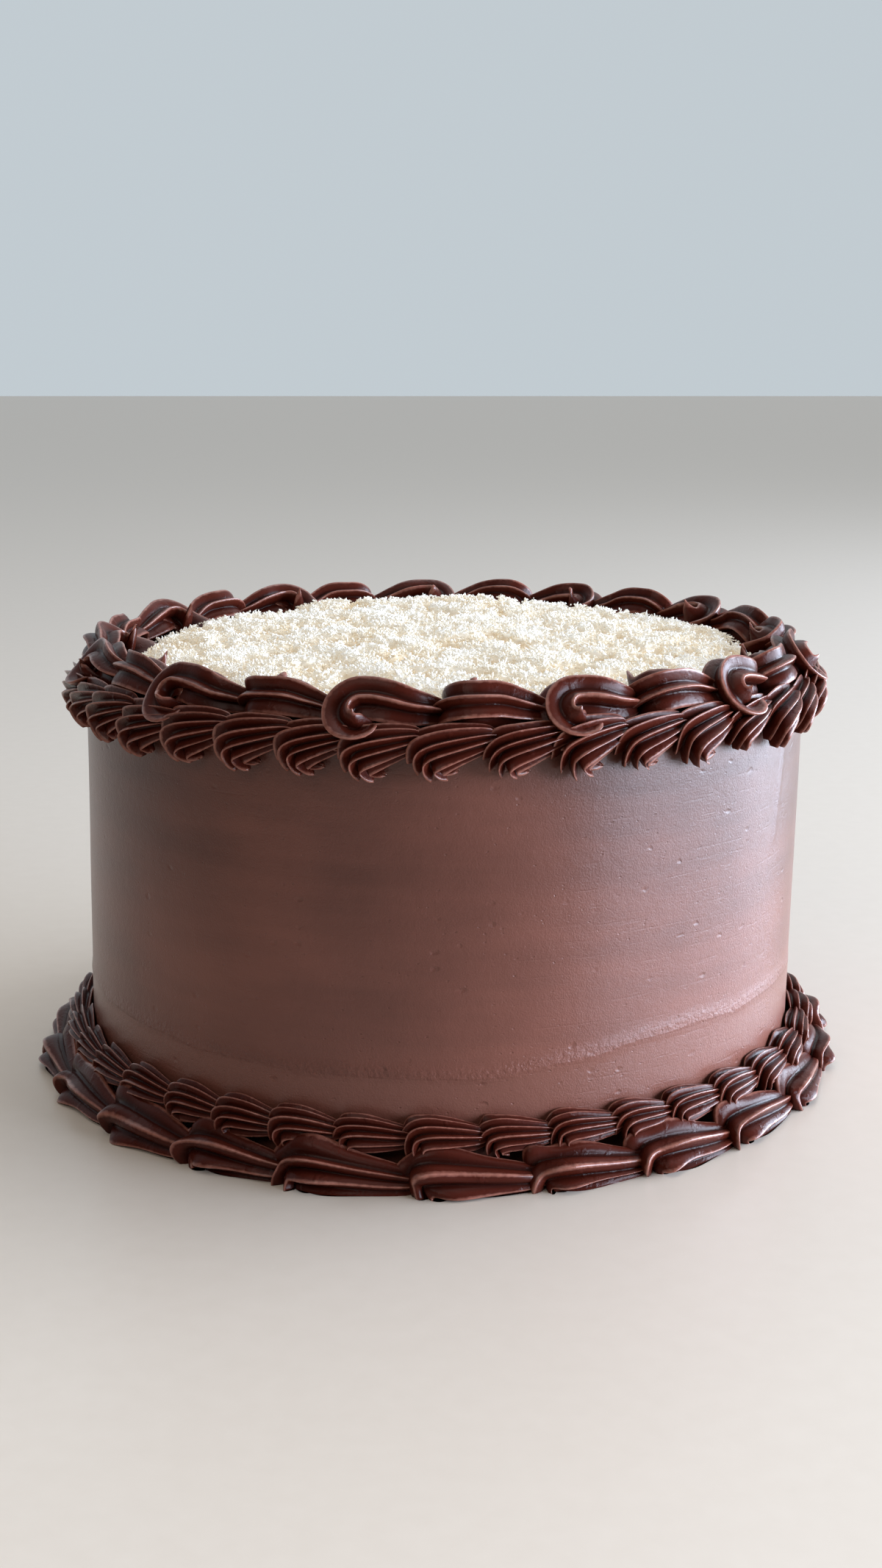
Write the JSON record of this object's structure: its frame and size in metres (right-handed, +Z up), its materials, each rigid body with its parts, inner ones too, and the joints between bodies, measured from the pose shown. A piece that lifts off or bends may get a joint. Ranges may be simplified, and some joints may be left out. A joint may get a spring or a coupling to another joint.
{
  "type": "coconut cake",
  "caption": "Tall round chocolate-iced cake with piped shell borders at its foot and top, scrolls on its edge and a bed of shredded coconut.",
  "frame": {"origin": "middle of the cake's foot, on the surface it stands on", "axes": "+Z up; -Y towards the side that the picture shows; +X to that side's right"},
  "size_m": [0.2311, 0.2305, 0.1248],
  "materials": {
    "chocolate_icing": "satin",
    "piped_icing": "satin",
    "coconut_shreds": "matte"
  },
  "bodies": {
    "root": {"cake": "chocolate_icing", "coconut": "coconut_shreds", "top_scrolls": "piped_icing", "upper_shells": "piped_icing", "lower_shells": "piped_icing", "base_shells": "piped_icing"}
  },
  "joints": []
}
